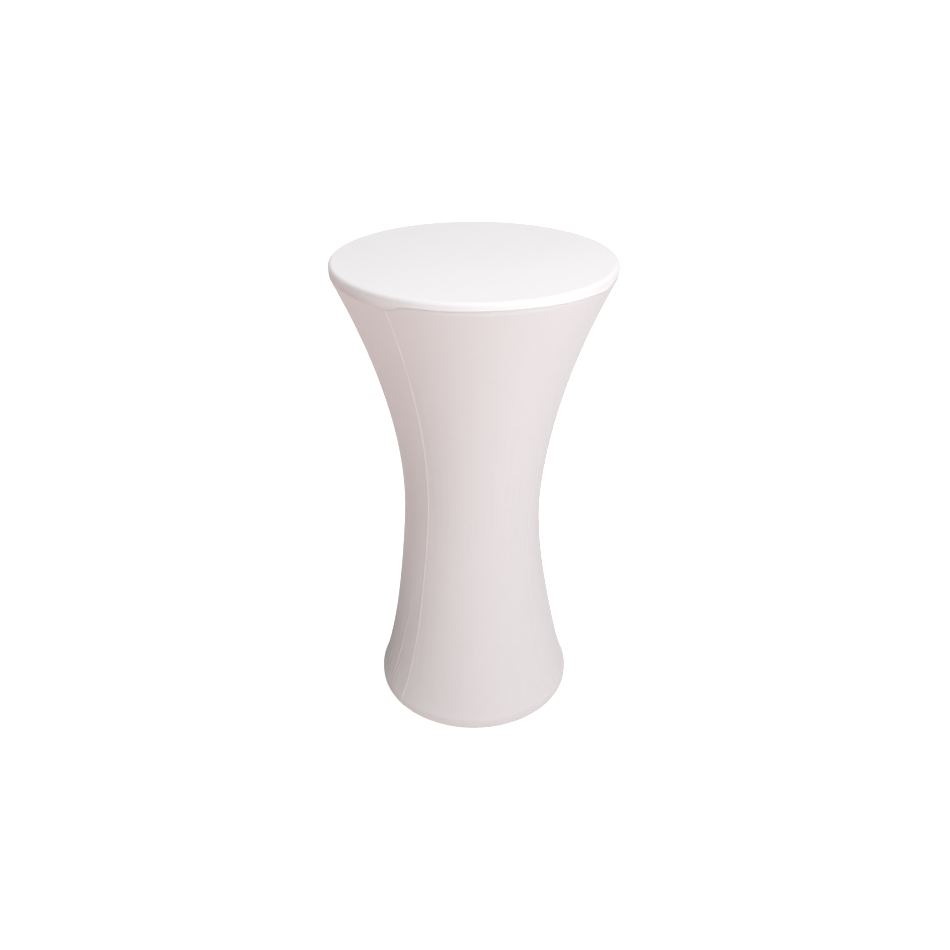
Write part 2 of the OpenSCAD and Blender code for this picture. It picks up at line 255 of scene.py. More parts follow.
def grainMaterial(name, shaderValues, low, high, fine, coarse, balance, depth, roughRange, strength=0.5):
    material, tree, shader, place = newMaterial(name, shaderValues)
    grain = grainOn(tree, place, low, high, fine, coarse, balance)
    tree.links.new(grain["Colour"], shader.inputs["Base Color"])
    tree.links.new(mapRange(tree, grain["Mask"], 0.0, 1.0, *roughRange), shader.inputs["Roughness"])
    bumpInto(tree, shader, grain["Height"], depth, strength)
    return material


def metalMaterial(name, low, high, fine, coarse, balance, smooth, rough, depth):
    material, tree, shader, place = newMaterial(name, {"Metallic": 1.0})
    grain = grainOn(tree, place, low, high, fine, coarse, balance)
    wear = useGroup(tree, handlingGroup, {"Place": place, "Smooth": smooth, "Rough": rough})
    tree.links.new(grain["Colour"], shader.inputs["Base Color"])
    tree.links.new(wear["Roughness"], shader.inputs["Roughness"])
    bumpInto(tree, shader, wear["Height"], depth, 0.4)
    return material


seamThread = grainMaterial(
    "seamThread", {"Sheen Weight": 0.2, "Sheen Roughness": 0.4}, (0.70, 0.66, 0.66), (0.86, 0.83, 0.83),
    2600, 700, 0.4, 0.05 * mm, (0.5, 0.65),
)
finishes = {
    "laminate": grainMaterial("whiteLaminate", {"Coat Weight": 0.15}, (0.76, 0.745, 0.72), (0.83, 0.82, 0.80),
        1800, 40, 0.35, 0.02 * mm, (0.28, 0.38)),
    "coreBoard": grainMaterial("particleBoard", {}, (0.30, 0.19, 0.10), (0.66, 0.49, 0.30),
        480, 130, 0.45, 0.3 * mm, (0.75, 0.9), 0.9),
    "edgePlastic": grainMaterial("mouldedEdge", {}, (0.022, 0.022, 0.024), (0.045, 0.045, 0.048),
        2200, 60, 0.4, 0.04 * mm, (0.38, 0.5)),
    "powderCoat": grainMaterial("powderCoat", {"Metallic": 0.35, "Coat Weight": 0.1}, (0.36, 0.365, 0.375),
        (0.48, 0.485, 0.495), 1300, 18, 0.3, 0.08 * mm, (0.38, 0.52)),
    "castIron": grainMaterial("castIron", {"Metallic": 0.6}, (0.045, 0.046, 0.05), (0.12, 0.12, 0.125),
        650, 25, 0.4, 0.4 * mm, (0.6, 0.8), 0.9),
    "padPlastic": grainMaterial("padNylon", {}, (0.03, 0.03, 0.032), (0.06, 0.06, 0.063),
        2400, 90, 0.4, 0.05 * mm, (0.42, 0.58)),
    "polishedSteel": metalMaterial("polishedSteel", (0.70, 0.70, 0.71), (0.80, 0.80, 0.81),
        600, 12, 0.6, 0.08, 0.2, 0.01 * mm),
    "zincSteel": metalMaterial("zincSteel", (0.50, 0.52, 0.55), (0.72, 0.73, 0.75),
        500, 160, 0.6, 0.22, 0.42, 0.03 * mm),
    "insertBrass": metalMaterial("insertBrass", (0.60, 0.42, 0.17), (0.78, 0.58, 0.27),
        700, 90, 0.5, 0.2, 0.35, 0.02 * mm),
}


def elasticMaterial():
    material, tree, shader = newMaterial("elasticBand", {"Sheen Weight": 0.1})[:3]
    cloth = addNode(tree, "UVMap", uv_map="knit").outputs[0]
    ribs = useGroup(tree, knitGroup, {"Cloth": cloth, "Columns": 650.0, "Rows": 900.0})
    colour = mixColour(tree, ribs["Loops"], (0.62, 0.61, 0.60, 1), (0.84, 0.83, 0.82, 1))
    tree.links.new(colour, shader.inputs["Base Color"])
    tree.links.new(mapRange(tree, ribs["Yarn"], 0.0, 1.0, 0.55, 0.75), shader.inputs["Roughness"])
    bumpInto(tree, shader, ribs["Loops"], 0.25 * mm, 0.8)
    return material


elasticBand = elasticMaterial()
print("materials built")

nodeFinish = {
    "top_laminate": "laminate", "bottom_laminate": "laminate", "tabletop_core": "coreBoard",
    "edge_moulding": "edgePlastic", "mounting_plate": "powderCoat", "column_collar": "powderCoat",
    "base_cover": "powderCoat", "base_weight": "castIron", "column_tube": "polishedSteel",
    "column_plug": "padPlastic", "plate_screws": "zincSteel", "tie_rod": "zincSteel",
    "tie_rod_top_nut": "zincSteel", "tie_rod_washer": "zincSteel", "tie_rod_bottom_nut": "zincSteel",
    "glide_inserts": "insertBrass",
}
for number in range(1, 5):
    nodeFinish[f"glide_stem_{number}"] = "zincSteel"
    nodeFinish[f"glide_pad_{number}"] = "padPlastic"
for nodeName, finish in nodeFinish.items():
    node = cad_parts[nodeName]
    if not node.material_slots:
        node.data.materials.append(finishes[finish])
    for slotItem in node.material_slots:
        slotItem.material = finishes[finish]
print("hardware finished")

coverShape = {
    "topZ": 1100 * mm, "edgeCentreR": 293 * mm, "edgeRound": 8 * mm,
    "upperCentreZ": 1092 * mm, "lowerCentreZ": 1078 * mm, "leaveAngle": 25.0,
    "waistR": 160.78 * mm, "waistZ": 513.7 * mm,
    "upperR": 300.25 * mm, "upperZ": 1074.5 * mm, "upperPower": 1.873,
    "footRise": 68.17 * mm, "footZ": 34 * mm, "footPower": 1.634,
    "flare": 6.94 * mm, "flareFade": 37.1 * mm,
    "rimR": 237.0 * mm, "rimRoundR": 228 * mm, "rimRound": 9 * mm, "rimRoundZ": 14 * mm, "hemR": 221.6 * mm,
    "swayX": -5.5 * mm, "swayZ": 420 * mm, "swaySpread": 190 * mm,
    "seamRefZ": 1083 * mm,
    "clothThick": 0.7 * mm,
}


# The cover's outer half section from its centre to the hem, as radius and height with outward
# normals, against the distance along it. Zero distance is at the cap seam's usual height.
def coverLine(shape):
    c = shape
    quarter = np.radians(np.linspace(90, 0, 40))
    leave = np.radians(np.linspace(0, -c["leaveAngle"], 24))
    z = np.linspace(c["upperZ"], c["footZ"], 2400)
    high = np.clip((z - c["waistZ"]) / (c["upperZ"] - c["waistZ"]), 0, None)
    low = np.clip((c["waistZ"] - z) / (c["waistZ"] - c["footZ"]), 0, None)
    r = c["waistR"] + (c["upperR"] - c["waistR"]) * high ** c["upperPower"]
    r = r + c["footRise"] * low ** c["footPower"]
    r = r + np.where(z < c["waistZ"], c["flare"] * np.exp((c["footZ"] - z) / c["flareFade"]), 0)
    shoulder = np.linspace(c["footZ"] - 0.5 * mm, c["rimRoundZ"], 40)
    rise = (shoulder - c["rimRoundZ"]) / (c["footZ"] - c["rimRoundZ"])
    shoulderR = c["rimR"] + 0.45 * mm * np.sin(np.pi * rise) ** 2 - (c["rimR"] - r[-1]) * rise**4
    under = np.radians(np.linspace(0, -90, 40))
    flatR = np.linspace(0, c["edgeCentreR"], 300)[:-1]
    edgeR = c["edgeCentreR"]
    bend = c["edgeRound"]
    parts = [
        (flatR, np.full(flatR.shape, c["topZ"])),
        (edgeR + bend * np.cos(quarter), c["upperCentreZ"] + bend * np.sin(quarter)),
        (edgeR + bend * np.cos(leave), c["lowerCentreZ"] + bend * np.sin(leave)),
        (r[1:], z[1:]),
        (shoulderR, shoulder),
        (c["rimRoundR"] + c["rimRound"] * np.cos(under), c["rimRoundZ"] + c["rimRound"] * np.sin(under)),
        (np.array([c["hemR"]]), np.array([c["rimRoundZ"] - c["rimRound"]])),
    ]
    lineR = np.concatenate([p[0] for p in parts])
    lineZ = np.concatenate([p[1] for p in parts])
    step = np.hypot(np.diff(lineR), np.diff(lineZ))
    s = np.concatenate([[0], np.cumsum(step)])
    even = np.arange(0, s[-1], 0.25 * mm)
    r, z = np.interp(even, s, lineR), np.interp(even, s, lineZ)
    kernel = np.exp(-0.5 * (np.arange(-12, 13) / 5.0) ** 2)
    kernel /= kernel.sum()
    smoothR = np.convolve(np.pad(r, 12, "reflect", reflect_type="odd"), kernel, "valid")
    smoothZ = np.convolve(np.pad(z, 12, "reflect", reflect_type="odd"), kernel, "valid")
    tangentR, tangentZ = np.gradient(smoothR), np.gradient(smoothZ)
    size = np.hypot(tangentR, tangentZ)
    zero = even[np.argmin(np.abs(smoothZ - c["seamRefZ"]) + np.where(smoothR < 0.29, 1, 0))]
    return even - zero, smoothR, smoothZ, -tangentZ / size, tangentR / size


lineS, lineR, lineZ, lineNr, lineNz = coverLine(coverShape)
onSide = lineR > 0.2
lineEnd = lineS[-1]


# Distance along the line at a height on the side of the cover.
def distanceAt(z):
    side = (lineS > -0.012) & (lineZ > 0.0055)
    return np.interp(-z, -lineZ[side], lineS[side])


# Azimuths in degrees from the front, growing to the right, of the four sewn seams at a height.
def seamFrontLeft(z):
    return -34 - 16.7 * (1 - np.clip(z, 0.03, 1.07) / 1.07) ** 2


rightSeamStops = np.array([
    (0.0, 51.3), (0.03, 51.2), (0.12, 50.6), (0.2, 49.8), (0.34, 49.5), (0.47, 51.4), (0.56, 53.3),
    (0.65, 56.2), (0.70, 58.2), (0.8, 59.4), (0.9, 59.5), (0.976, 60.2), (1.03, 59.2), (1.075, 57.2),
    (1.1, 56.8),
])
tableZ = np.linspace(-0.1, 1.2, 1301)
smoothing = np.hanning(83)[1:-1] / np.hanning(83).sum()    # over 80 mm of height
tableAzimuth = np.convolve(np.pad(np.interp(tableZ, *rightSeamStops.T), 40, "edge"), smoothing, "valid")


def seamFrontRight(z):
    return np.interp(z, tableZ, tableAzimuth)


def seamBackRight(z):
    return 141 + 5 * np.clip(z / 1.07, 0, 1) ** 1.5


def seamBackLeft(z):
    return 231 - 8 * (1 - np.clip(z, 0.03, 1.07) / 1.07) ** 2


seams = [seamFrontLeft, seamFrontRight, seamBackRight, seamBackLeft, lambda z: seamFrontLeft(z) + 360]

# Height of the cap seam round the edge: it dips where a gore seam pulls on it.
capSeamStops = np.array([
    (-129, 1075), (-122, 1081), (-112, 1084.5), (-95, 1085), (-81, 1085), (-71, 1086), (-60.5, 1082.5),
    (-52, 1080.5), (-46, 1077.5), (-40.6, 1074.5), (-36, 1071.0), (-32.8, 1071.0), (-29, 1076.5),
    (-27, 1081.5), (-22, 1083.2), (-10, 1083.5), (8, 1084.6), (20, 1084), (27.5, 1083), (36, 1081.6),
    (47, 1081), (53, 1078.5), (58, 1077), (62, 1080), (66, 1083.5), (74, 1086), (95, 1085), (120, 1084),
    (136, 1081), (143, 1078), (147, 1076.5), (151, 1079), (158, 1083), (175, 1085), (200, 1085),
    (218, 1083), (226, 1079), (231, 1075),
])


def capSeamZ(azimuth):
    wrapped = (azimuth + 129) % 360 - 129
    return np.interp(wrapped, capSeamStops[:, 0], capSeamStops[:, 1]) * mm


flatSet = {"middle": -64, "wide": 36, "least": 0.15}    # where the cap seam is drawn flat, in degrees


# How far the cap seam is drawn flat: 1 at the middle of the front left, falling off with the fourth
# power of the angle from there.
def drawnFlat(azimuth):
    near = (azimuth + 180) % 360 - 180
    return np.exp(-(((near - flatSet["middle"]) / flatSet["wide"]) ** 4))


# How deep the cap seam lies: its full depth, less where it is drawn flat.
def capSeamDepth(azimuth):
    return 1 - (1 - flatSet["least"]) * drawnFlat(azimuth)


rng = np.random.default_rng(11)
streakSet = {"counts": (26, 37, 49, 62), "height": 0.06 * mm}
streakPhase = rng.uniform(0, 2 * np.pi, (len(streakSet["counts"]), 3))

valleySet = {"share": 0.45, "off": 1.8}    # depth against the ridge, and place in half widths
# Drawn folds: start azimuth and height, end azimuth and height, half width in mm, height in mm
footFolds = np.array([
    (-60, 0.175, -66, 0.045, 2.51, 1.8), (-54, 0.3, -64.5, 0.11, 2.89, 0.58),
    (-59.5, 0.108, -63, 0.04, 2.12, 1.8), (-73, 0.12, -76.5, 0.062, 2.51, 1.46),
    (-59, 0.22, -61.2, 0.135, 2.31, 0.97), (-58.2, 0.084, -59.6, 0.04, 2.12, 1.1),
    (-68, 0.15, -72, 0.06, 2.68, 1.21), (-49, 0.365, -50.2, 0.29, 2.31, 0.59),
    (-53.5, 0.335, -56.5, 0.24, 2.51, 0.74), (-79, 0.1, -81.5, 0.05, 2.68, 1.21),
    (50.5, 0.04, 45, 0.024, 4.07, 0.9), (52.5, 0.05, 56.5, 0.02, 4, -1),
    (57.8, 0.082, 60.2, 0.052, 2.94, 1.17), (59.6, 0.07, 62.5, 0.036, 2.71, -0.92),
    (61.5, 0.058, 64.5, 0.03, 2.71, 0.79), (67, 0.11, 70, 0.05, 3.39, 0.36),
    (136, 0.12, 132, 0.045, 3.16, 0.62), (133, 0.09, 129.5, 0.04, 2.94, 0.52),
    (146, 0.1, 149, 0.04, 2.94, 0.47), (215, 0.14, 210, 0.045, 3.16, 0.57),
    (218, 0.1, 214.5, 0.04, 2.71, 0.52), (230, 0.11, 234, 0.045, 3.16, 0.47),
    (-7.5, 1.009, -1.5, 0.974, 3.4, 0.36), (6.5, 1.004, 15.8, 0.974, 3.4, 0.32),
    (22.8, 1.058, 29.5, 1.018, 3.4, 0.45), (100, 1.04, 107, 0.985, 3.4, 0.41),
    (184, 1.045, 178, 0.99, 3.4, 0.41), (252, 1.04, 258, 0.985, 3.4, 0.41),
])


# A bell round a place: 1 there, falling off with the square of the distance over its spread.
def bell(value, place, spread):
    return np.exp(-(((value - place) / spread) ** 2))


# Where points lie against a line from the origin to its end: how many half widths they are off it, and
# a fade that is 1 at its middle and 0 at and past both ends.
def alongLine(x, y, endX, endY, halfWidth):
    length = math.hypot(endX, endY)
    share = (x * endX + y * endY) / length**2
    off = (x * endY - y * endX) / length / (halfWidth * mm)
    return off, np.clip(1 - np.abs(2 * share - 1) ** 3, 0, 1)


# Sum over the drawn folds: a rounded ridge along a line, with a shallow valley on one side,
# fading out at both ends. Distances are taken on the cloth.
def foldLift(azimuth, z):
    total = np.zeros(np.broadcast(azimuth, z).shape)
    for a0, z0, a1, z1, halfWidth, height in footFolds:
        radius = np.interp((z0 + z1) / 2, lineZ[onSide][::-1], lineR[onSide][::-1])
        near = (azimuth - a0 + 180) % 360 - 180
        off, fade = alongLine(
            np.radians(near) * radius, z - z0, np.radians(a1 - a0) * radius, z1 - z0, halfWidth
        )
        valley = valleySet["share"] * bell(off, valleySet["off"], 1)
        total = total + height * mm * fade * (np.exp(-off**2) - valley)
    return total


clothSet = {
    "square": 0.9 * mm, "squareZ": 0.50, "squareSpread": 0.24, "squareTurn": 51,
    "streakFrom": 0.006, "streakFade": 0.06, "streakFootZ": 0.036, "streakFootFade": 0.05,
    # hollows under the cap: azimuth, half width in degrees, distance below the seam, its spread, depth
    "hollows": ((-9, 15, 0.014, 0.009, -0.25 * mm), (33, 5.5, 0.011, 0.008, -0.6 * mm)),
    "fullness": 0.05 * mm, "fullnessPlace": 0.0028, "fullnessSpread": 0.0038,
    "pucker": 0.35 * mm, "puckerCount": 150, "puckerAzimuth": -40, "puckerWide": 9, "puckerSpread": 0.006,
}


# Height of the cloth off its plain line: slight squareness at the waist, tension streaks, folds,
# hollows under the cap and the fullness of the cap seam's allowance.
def clothLift(azimuth, z, s, seamS):
    c = clothSet
    angle = np.radians(azimuth)
    waist = bell(z, c["squareZ"], c["squareSpread"])
    square = c["square"] * waist * np.cos(4 * np.radians(azimuth - c["squareTurn"] + 4 * (1 - z)))
    streaks = 0.0
    for count, (p, q, w) in zip(streakSet["counts"], streakPhase):
        swell = 0.55 + 0.45 * np.sin(z * (5 + 0.06 * count) + q)
        streaks = streaks + np.sin(count * angle + p + 1.5 * np.sin(3 * z + w)) * swell
    below = s - seamS
    fadeTop = np.clip((below - c["streakFrom"]) / c["streakFade"], 0, 1)
    fadeFoot = np.clip((z - c["streakFootZ"]) / c["streakFootFade"], 0, 1)
    lift = square + streakSet["height"] * streaks * fadeTop * fadeFoot + foldLift(azimuth, z)
    for place, wide, down, spread, depth in c["hollows"]:
        lift = lift + depth * bell(azimuth, place, wide) * bell(below, down, spread)
    fullness = c["fullness"] * bell(below, c["fullnessPlace"], c["fullnessSpread"]) * (below > -0.02)
    bunched = bell(azimuth, c["puckerAzimuth"], c["puckerWide"]) * bell(below, 0, c["puckerSpread"])
    return lift + fullness + c["pucker"] * np.sin(angle * c["puckerCount"]) * bunched


# Point at an azimuth and a distance along the line, moved out by lift along the line's normal,
# then swayed sideways with height.
def coverPoint(azimuth, s, lift):
    r = np.interp(s, lineS, lineR) + np.interp(s, lineS, lineNr) * lift
    z = np.interp(s, lineS, lineZ) + np.interp(s, lineS, lineNz) * lift
    c = coverShape
    sway = c["swayX"] * np.exp(-(((z - c["swayZ"]) / c["swaySpread"]) ** 2))
    a = np.radians(azimuth)
    return np.stack([r * np.sin(a) + sway, -r * np.cos(a), z + 0 * a], -1)


# Stops between the first and last place whose spacing runs through the given steps.
def gradedStops(places, steps):
    p = np.linspace(places[0], places[-1], 6000)
    density = 1 / np.interp(p, places, steps)
    count = np.concatenate([[0], np.cumsum((density[1:] + density[:-1]) / 2 * np.diff(p))])
    return np.interp(np.linspace(0, count[-1], int(round(count[-1])) + 1), count, p)


# Quads of a grid whose rows run down and columns run to the right, seen from outside.
def gridFaces(rows, columns, wrap=False):
    index = np.arange(rows * columns).reshape(rows, columns)
    if wrap:
        index = np.concatenate([index, index[:, :1]], 1)
    return np.stack([index[1:, :-1], index[1:, 1:], index[:-1, 1:], index[:-1, :-1]], -1).reshape(-1, 4)


# A named piece from points and faces, with its cloth coordinates, painted seam shade and lighter seam layers
# with a painted highlight, riding on its body and standing for its frame nodes. A thickness is added on the
# inner side.
def makePiece(
    name, points, faces, material, nodes=(), uv=None, shade=None, layersAndHighlight=None, thick=None,
    body="table",
):
    mesh = bpy.data.meshes.new(name)
    mesh.from_pydata(points.reshape(-1, 3).tolist(), [], faces if isinstance(faces, list) else faces.tolist())
    if uv is not None:
        loops = np.empty(len(mesh.loops), np.int32)
        mesh.loops.foreach_get("vertex_index", loops)
        eachCorner = uv.reshape(-1, 2)[loops].astype(np.float32)
        mesh.uv_layers.new(name="knit").data.foreach_set("uv", eachCorner.ravel())
    for attributeName, values in (("paintedSeamShade", shade), ("seamLayersAndHighlight", layersAndHighlight)):
        if values is not None:
            attribute = mesh.attributes.new(attributeName, "FLOAT", "POINT")
            attribute.data.foreach_set("value", values.astype(np.float32).ravel())
    mesh.polygons.foreach_set("use_smooth", np.ones(len(mesh.polygons), bool))
    mesh.materials.append(material)
    mesh.update()
    piece = bpy.data.objects.new(name, mesh)
    bpy.context.scene.collection.objects.link(piece)
    if thick:
        wall = piece.modifiers.new("clothThickness", "SOLIDIFY")
        wall.thickness = thick
        wall.offset = -1
        wall.use_even_offset = False
    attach(piece, body)
    if nodes:
        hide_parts(*nodes)
    return piece


# A rounded groove along a seam: minus the depth times a bell across it.
def seamGroove(distance, deep, wide):
    return -deep * bell(distance, 0, wide)


goreSet = {
    # across a gore and down from the cap seam: places in mm, and the spacing there
    "columnPlaces": (0, 3, 70, 95, 265, 290, 357, 360),
    "columnSteps": (0.5, 0.6, 2.0, 5.5, 5.5, 2.0, 0.6, 0.5),
    "leftPlaces": (0, 3, 40, 60, 190, 215, 345, 357, 360),
    "leftSteps": (0.5, 0.6, 2.2, 5.5, 5.5, 1.8, 1.7, 0.6, 0.5),
    "rowPlaces": (0, 6, 50, 900, 1000, 1500),
    "rowSteps": (0.7, 0.9, 6.0, 6.0, 3.0, 1.7),
    # front, right, back and left gore: height in mm, and how much lighter over the allowance at each side,
    # from the folded layers and partly a painted highlight
    "ridge": ((0.75, 0.85), (0.5, 0.5), (0.65, 0.5), (0.65, 0.5)),
    "corner": 0.8 * mm, "cornerWide": 14 * mm,
    "ridgeOff": 1.3 * mm, "ridgeWide": 1.1 * mm,
    "groove": (0.3 * mm, 0.1 * mm, 0.25 * mm, 0.25 * mm), "grooveWide": 0.6 * mm,
    "highGroove": (-0.3, 2.5, 0.5, 0.5),
    # painted shade in the seam grooves, and a painted shade line behind the front ridge: amount, place, width
    "grooveShade": (0.12, 0.03, 0.12, 0.12), "shadeBehindRidge": (0.22, 3.1 * mm, 0.7 * mm),
    # groove under the cap seam, with painted shade along it
    "capGroove": 0.45 * mm, "capGrooveWide": 0.9 * mm, "capShade": 0.10,
    "cornerFrom": 0.75, "cornerFade": 0.3, "cornerFoot": 0.05,
    "ridgeFootMore": 0.7, "ridgeFootZ": 0.09, "highFrom": 0.8, "highFade": 0.2,
    "stitch": 0.10 * mm, "stitchPitch": 0.013, "stitchWide": 0.006,
    # widths and heights of the painted shade; topShade is a painted shade band just under the cap seam
    "grooveShadeWide": 0.5 * mm, "behindFrom": 0.75, "behindFade": 0.4, "capShadeWide": 0.7 * mm,
    "topShade": 0.14, "topShadePlace": 2.2 * mm, "topShadeWide": 2.4 * mm,
    "pullReach": 0.12, "pullPower": 1.5, "tuckLength": 0.022, "tuckFade": 0.012,
    "gathers": 88, "gatherHeight": 0.28 * mm,
    "restOnBase": ((0.036, 0.052), (-0.28, -3.0)),    # height in m, and how far in the cloth can go in mm
    "flatWidth": 0.40, "flatLength": 1.03, "flatArea": 0.262,
}


# Groove and painted shade along the cap seam, both less deep where the seam is drawn flat.
def capSeamGroove(azimuth, distance):
    return seamGroove(distance, goreSet["capGroove"], goreSet["capGrooveWide"]) * capSeamDepth(azimuth)


def capSeamShade(azimuth, distance):
    return goreSet["capShade"] * capSeamDepth(azimuth) * bell(distance, 0, goreSet["capShadeWide"])


# Grid of azimuth, distance along the line and lift for one gore: columns share the width
# between its two seams, rows start at the cap seam and end at the hem.
def goreGrid(index):
    g = goreSet
    own, other = index, (index + 1) % 4
    kind = "left" if index == 3 else "column"
    u = gradedStops(g[kind + "Places"], g[kind + "Steps"]) / g[kind + "Places"][-1]
    rowEnd = lineEnd / mm
    places = [p for p in g["rowPlaces"] if p < rowEnd] + [rowEnd]
    rows = gradedStops(places, g["rowSteps"][: len(places)]) * mm
    rowZ = np.interp(rows, lineS, lineZ)
    left, right = seams[index](rowZ), seams[index + 1](rowZ)
    azimuth = left[:, None] + (right - left)[:, None] * u[None, :]
    seamS = distanceAt(capSeamZ(azimuth[:1]))
    pull = np.clip(1 - rows / g["pullReach"], 0, 1)[:, None] ** g["pullPower"]
    s = rows[:, None] + seamS * pull
    z = np.interp(s, lineS, lineZ)
    r = np.interp(s, lineS, lineR)
    width = np.radians(right - left)[:, None] * r
    fromLeft, fromRight = u[None, :] * width, (1 - u)[None, :] * width
    nearest = np.minimum(fromLeft, fromRight)
    # corners, ridge over the allowance, grooves and stitches beside the seams
    lift = clothLift(azimuth, z, s, seamS)
    low = np.clip((g["cornerFrom"] - z) / g["cornerFade"], 0, 1) * np.clip(z / g["cornerFoot"], 0, 1)
    lift = lift + g["corner"] * np.exp(-nearest / g["cornerWide"]) * low
    footward = 1 + g["ridgeFootMore"] * bell(z, 0, g["ridgeFootZ"])
    height, layersAndPaintedHighlight = g["ridge"][index]
    overFold = bell(fromLeft, g["ridgeOff"], g["ridgeWide"])
    lift = lift + height * mm * footward * overFold
    # lighter over the folded allowance, partly a painted highlight on the ridge
    layersAndHighlight = layersAndPaintedHighlight * overFold
    upper = np.clip((z - g["highFrom"]) / g["highFade"], 0, 1)
    for seam, distance in ((own, fromLeft), (other, fromRight)):
        more = 1 + g["highGroove"][seam] * upper
        lift = lift + seamGroove(distance, g["groove"][seam], g["grooveWide"]) * more
    lift = lift + g["stitch"] * np.sin(s * 2 * np.pi / g["stitchPitch"]) * bell(nearest, 0, g["stitchWide"])
    lift = lift + capSeamGroove(azimuth, s - seamS)
    lift = np.maximum(lift, np.interp(z, *g["restOnBase"]) * mm)
    tuck = np.clip((s - (lineEnd - g["tuckLength"])) / g["tuckFade"], 0, 1)
    lift = lift + g["gatherHeight"] * tuck * np.sin(g["gathers"] * np.radians(azimuth))
    # painted shade in the grooves, behind the front ridge and under the cap
    shade = g["grooveShade"][own] * bell(fromLeft, 0, g["grooveShadeWide"])
    shade = shade + g["grooveShade"][other] * bell(fromRight, 0, g["grooveShadeWide"])
    if index == 0:
        deep, place, wide = g["shadeBehindRidge"]
        lower = np.clip((g["behindFrom"] - z) / g["behindFade"], 0, 1)
        shade = shade + deep * bell(fromLeft, place, wide) * lower
    shade = shade + capSeamShade(azimuth, s - seamS)
    shade = shade + g["topShade"] * bell(s - seamS, g["topShadePlace"], g["topShadeWide"])
    flat = np.stack([u[None, :] * g["flatWidth"] + 0 * s, s], -1)
    return azimuth, s, lift, np.clip(shade, 0, 1), np.clip(layersAndHighlight, 0, 1), flat


for index, side in enumerate(("Front", "Right", "Back", "Left")):
    azimuth, s, lift, shade, layersAndHighlight, flat = goreGrid(index)
    points = coverPoint(azimuth, s, lift)
    gore = makePiece(
        f"skirtGore{side}", points, gridFaces(*azimuth.shape), skirtKnit,
        nodes=[f"skirt_gore_{side.lower()}"], uv=flat, shade=shade, layersAndHighlight=layersAndHighlight,
        thick=coverShape["clothThick"],
    )
print("gores made", azimuth.shape)

capSet = {
    "columns": 480,
    "rowPlaces": (2, 20, 262, 290, 320),    # mm from the centre
    "rowSteps": (6, 14, 14, 1.6, 0.7),
    "flatWidth": 0.58,
    # start azimuth and radius, end azimuth and radius, half width in mm, height in mm
    "creases": (
        (52, 0.20, 68, 0.275, 2.6, 0.12), (40, 0.235, 60, 0.268, 2.8, 0.10), (200, 0.15, 214, 0.26, 3, 0.10),
    ),
    "sag": -0.25 * mm, "sagEdge": 0.293, "sagFade": 0.02, "sagRadius": 0.3,
    "overhang": 1.3 * mm, "overhangFrom": 0.015, "overhangFade": 0.013, "overhangPower": 1.3,
    "turnIn": 0.9, "turnInSpread": 0.9 * mm,
    "pucker": 0.4 * mm, "puckerPlace": 0.003, "puckerSpread": 0.005,
    "waves": 0.03 * mm, "waveCount": 41, "waveSpread": 0.008,
    # the cap's edge band above the seam: where the seam lies deep it is lighter from the folded layers and
    # partly a painted highlight; where the seam is drawn flat it gets painted shade
    "edgeFrom": 0.012, "edgeFade": 0.008, "edgeLayersAndHighlight": 0.45, "edgeShade": 0.24,
}


# Place on the flat top at an azimuth in degrees and a radius.
def onPlan(azimuth, radius):
    a = np.radians(azimuth)
    return radius * np.sin(a), -radius * np.cos(a)


# Rings of the cap from near its centre out over the rounded edge and down to the cap seam.
def capGrid():
    c = capSet
    azimuth = np.linspace(-180, 180, c["columns"], endpoint=False)[None, :]
    seamS = distanceAt(capSeamZ(azimuth))
    start = lineS[0] + c["rowPlaces"][0] * mm
    stops = gradedStops(c["rowPlaces"], c["rowSteps"])
    share = (stops - stops[0]) / (stops[-1] - stops[0])
    s = start + (seamS - start) * share[:, None]
    r = np.interp(s, lineS, lineR)
    onTop = np.clip((c["sagEdge"] - r) / c["sagFade"], 0, 1)
    a = np.radians(azimuth)
    outer = r / c["sagRadius"]
    lift = c["sag"] * onTop * (1 + np.sin(3 * a + 0.6) * outer**2 + 0.6 * np.sin(5 * a + 2.0) * outer**3)
    x, y = onPlan(azimuth, r)
    for a0, r0, a1, r1, halfWidth, height in c["creases"]:
        (x0, y0), (x1, y1) = onPlan(a0, r0), onPlan(a1, r1)
        off, fade = alongLine(x - x0, y - y0, x1 - x0, y1 - y0, halfWidth)
        lift = lift + height * mm * fade * np.exp(-off**2)
    above = seamS - s
    towardSeam = np.clip((c["overhangFrom"] - above) / c["overhangFade"], 0, 1)
    turned = 1 - c["turnIn"] * bell(above, 0, c["turnInSpread"])
    lift = lift + c["overhang"] * towardSeam ** c["overhangPower"] * turned * capSeamDepth(azimuth)
    bunched = bell(azimuth, clothSet["puckerAzimuth"], clothSet["puckerWide"])
    bunched = bunched * bell(above, c["puckerPlace"], c["puckerSpread"])
    lift = lift + c["pucker"] * np.sin(a * clothSet["puckerCount"]) * bunched
    lift = lift + c["waves"] * np.sin(a * c["waveCount"] + 0.7) * bell(above, 0, c["waveSpread"])
    lift = lift + capSeamGroove(azimuth, above)
    shade = capSeamShade(azimuth, above)
    # edge band: lighter from folded layers, partly a painted highlight, where the seam lies deep; painted
    # shade where it is drawn flat
    edge = np.clip((c["edgeFrom"] - above) / c["edgeFade"], 0, 1)
    layersAndHighlight = c["edgeLayersAndHighlight"] * edge * (1 - drawnFlat(azimuth))
    shade = shade + c["edgeShade"] * edge * drawnFlat(azimuth)
    return azimuth + 0 * s, s, lift, shade, layersAndHighlight


